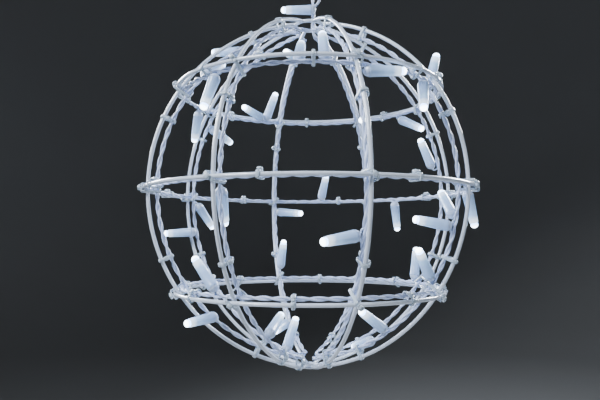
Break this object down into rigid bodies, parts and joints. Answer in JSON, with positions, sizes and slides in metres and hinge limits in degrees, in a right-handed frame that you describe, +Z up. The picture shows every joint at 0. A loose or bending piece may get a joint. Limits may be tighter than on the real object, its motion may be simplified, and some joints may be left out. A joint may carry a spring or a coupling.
{
  "type": "led ball light",
  "caption": "Hanging wire-frame ball light: bent white ribs and rings with a string of small sleeved LED bulbs tied along their inside, on a short lead with a screw coupler.",
  "frame": {"origin": "middle of the coupler's spigot, on its axis; the ball hangs below", "axes": "+Z up along the coupler's spigot and the ball's axis, -Y towards the viewer of the picture, +X to that viewer's right"},
  "size_m": [0.2998, 0.2998, 0.4295],
  "materials": {
    "wire_coating": "satin",
    "string_pvc": "satin",
    "tie_nylon": "satin",
    "bulb_sleeve": "frosted",
    "bulb_plug": "satin",
    "lamp": "clear",
    "coupler_plastic": "satin",
    "gland_rubber": "matt",
    "seal_rubber": "matt",
    "pin_brass": "polished"
  },
  "bodies": {
    "coupler": {"lead_gland": "gland_rubber", "coupler_body": "coupler_plastic", "coupler_core": "coupler_plastic", "contact_pins": "pin_brass", "seal_ring": "seal_rubber"},
    "nut": {"coupling_nut": "coupler_plastic"},
    "ball": {"bottom_pole_ring": "wire_coating", "bulb_lamps": "lamp", "bulb_plugs": "bulb_plug", "equator_bulb_sleeves": "bulb_sleeve", "equator_crossing_ties": "tie_nylon", "equator_ring": "wire_coating", "equator_ring_ties": "tie_nylon", "lead_riser": "string_pvc", "lower_bulb_sleeves": "bulb_sleeve", "lower_crossing_ties": "tie_nylon", "lower_ring": "wire_coating", "lower_ring_ties": "tie_nylon", "rib_1": "wire_coating", "rib_1_bulb_sleeves": "bulb_sleeve", "rib_2": "wire_coating", "rib_2_bulb_sleeves": "bulb_sleeve", "rib_3": "wire_coating", "rib_3_bulb_sleeves": "bulb_sleeve", "rib_4": "wire_coating", "rib_4_bulb_sleeves": "bulb_sleeve", "rib_5": "wire_coating", "rib_5_bulb_sleeves": "bulb_sleeve", "rib_6": "wire_coating", "rib_6_bulb_sleeves": "bulb_sleeve", "rib_7": "wire_coating", "rib_7_bulb_sleeves": "bulb_sleeve", "rib_8": "wire_coating", "rib_ties": "tie_nylon", "slack_lead": "string_pvc", "string_bottom_links": "string_pvc", "string_equator_ring": "string_pvc", "string_lower_ring": "string_pvc", "string_rib_1": "string_pvc", "string_rib_2": "string_pvc", "string_rib_3": "string_pvc", "string_rib_4": "string_pvc", "string_rib_5": "string_pvc", "string_rib_6": "string_pvc", "string_rib_7": "string_pvc", "string_rib_8": "string_pvc", "string_top_links": "string_pvc", "string_upper_ring": "string_pvc", "taut_lead": "string_pvc", "top_bulb_sleeves": "bulb_sleeve", "top_pole_ring": "wire_coating", "upper_bulb_sleeves": "bulb_sleeve", "upper_crossing_ties": "tie_nylon", "upper_ring": "wire_coating", "upper_ring_ties": "tie_nylon"}
  },
  "joints": [
    {"name": "nut_turn", "type": "hinge", "parent": "coupler", "child": "nut", "pos_m": [0, 0, 0], "axis": [0, 0, 1], "continuous": true},
    {"name": "ball_swing", "type": "hinge", "parent": "coupler", "child": "ball", "pos_m": [0, 0, -0.0405], "axis": [0, 1, 0], "range_deg": [-25, 25]}
  ]
}
